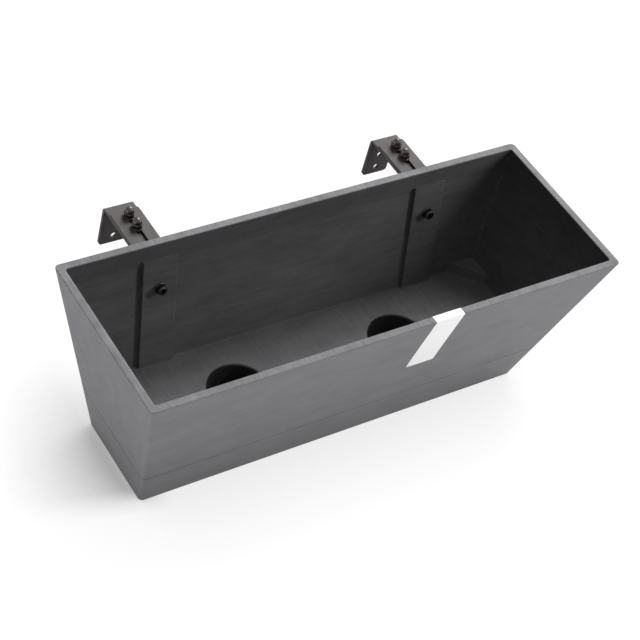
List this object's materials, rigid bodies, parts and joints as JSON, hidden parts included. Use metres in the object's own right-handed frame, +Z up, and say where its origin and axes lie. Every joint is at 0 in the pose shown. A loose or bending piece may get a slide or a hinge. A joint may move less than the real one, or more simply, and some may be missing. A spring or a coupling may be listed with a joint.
{
  "type": "window box planter",
  "caption": "Long tapered planting trough on a water tray, with soil wells in its floor and slotted steel arms whose sliding hooks hang it on a railing.",
  "frame": {"origin": "centre of the water tray's underside", "axes": "+X along the box to the right seen from its front, +Y to the back where the hooks are, +Z up"},
  "size_m": [0.5496, 0.2737, 0.1993],
  "materials": {
    "body": "fine-grained dark grey moulded plastic",
    "bar": "matt brownish grey steel bar",
    "fastener": "satin dark brown steel",
    "label": "plain white coated paper"
  },
  "bodies": {
    "reservoir_tray": {"reservoir_tray": "body"},
    "trough": {"trough": "body", "left_soil_well": "body", "right_soil_well": "body", "label_strip": "label", "left_arm": "bar", "left_wall_bolt": "fastener", "left_wall_inner_washer": "fastener", "left_wall_outer_washer": "fastener", "left_wall_nut": "fastener", "right_arm": "bar", "right_wall_bolt": "fastener", "right_wall_inner_washer": "fastener", "right_wall_outer_washer": "fastener", "right_wall_nut": "fastener"},
    "left_hook": {"left_hook": "bar", "left_rear_clamp_bolt": "fastener", "left_rear_clamp_washer": "fastener", "left_rear_clamp_nut": "fastener", "left_front_clamp_bolt": "fastener", "left_front_clamp_washer": "fastener", "left_front_clamp_nut": "fastener"},
    "right_hook": {"right_hook": "bar", "right_rear_clamp_bolt": "fastener", "right_rear_clamp_washer": "fastener", "right_rear_clamp_nut": "fastener", "right_front_clamp_bolt": "fastener", "right_front_clamp_washer": "fastener", "right_front_clamp_nut": "fastener"}
  },
  "joints": [
    {"name": "trough_lift", "type": "slide", "parent": "reservoir_tray", "child": "trough", "axis": [0, 0, 1], "range_m": [0, 0.06]},
    {"name": "left_hook_slide", "type": "slide", "parent": "trough", "child": "left_hook", "axis": [0, -1, 0], "range_m": [0, 0.0255]},
    {"name": "right_hook_slide", "type": "slide", "parent": "trough", "child": "right_hook", "axis": [0, -1, 0], "range_m": [0, 0.0255]}
  ]
}
